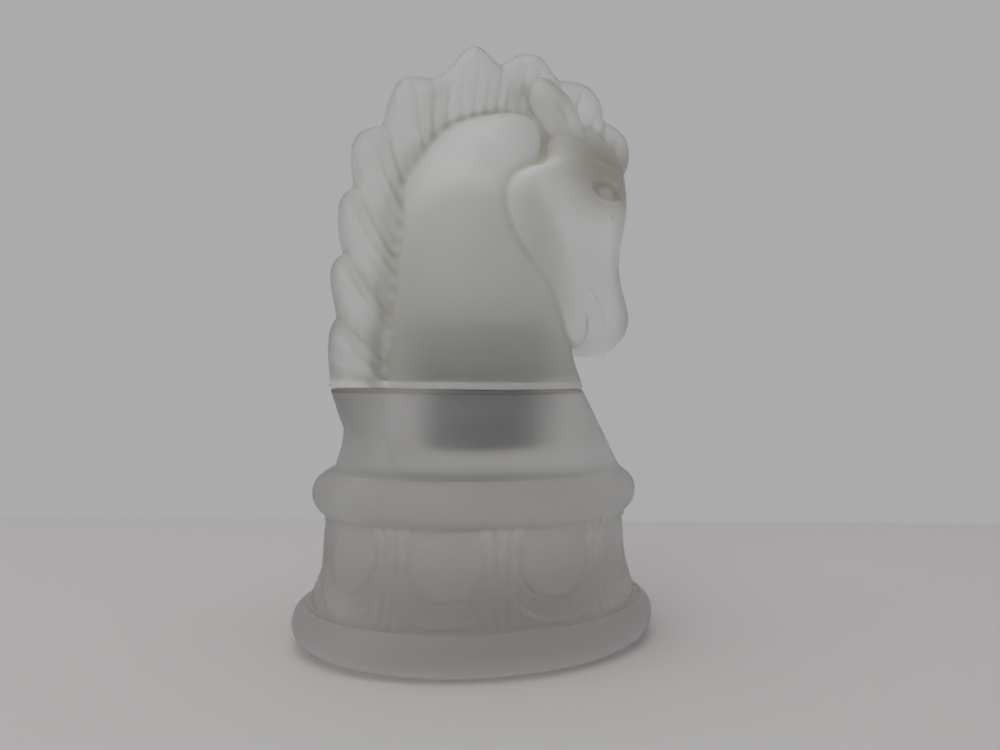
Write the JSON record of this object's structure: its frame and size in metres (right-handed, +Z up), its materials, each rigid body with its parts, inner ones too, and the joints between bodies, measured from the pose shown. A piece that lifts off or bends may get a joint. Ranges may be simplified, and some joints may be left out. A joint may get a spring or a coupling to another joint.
{
  "type": "knight-shaped glass candle light",
  "caption": "Frosted glass candle light shaped as a chess knight: an oval base with a candle well and a lift-off hollow horse's head as the shade.",
  "frame": {"origin": "centre of the base's oval underside, on the surface it stands on", "axes": "+Z up, +X along the oval's length, the way the horse looks; the object is symmetric about y = 0"},
  "size_m": [0.109, 0.0894, 0.1756],
  "materials": {
    "base_frosted_glass": "satin acid-etched",
    "head_frosted_glass": "satin acid-etched",
    "cup_metal": "drawn, dull",
    "wax": "waxy",
    "wick_cotton": "braided, waxed",
    "sustainer_tin": "plated"
  },
  "bodies": {
    "base": {"base_glass": "base_frosted_glass"},
    "head": {"horse_head_shade": "head_frosted_glass"},
    "candle": {"candle_cup": "cup_metal", "candle_wax": "wax", "candle_wick": "wick_cotton", "wick_sustainer": "sustainer_tin"}
  },
  "joints": [
    {"name": "head_lift", "type": "slide", "parent": "base", "child": "head", "axis": [0, 0, 1], "range_m": [0, 0.12]},
    {"name": "candle_lift", "type": "slide", "parent": "base", "child": "candle", "axis": [0, 0, 1], "range_m": [0, 0.02]}
  ]
}
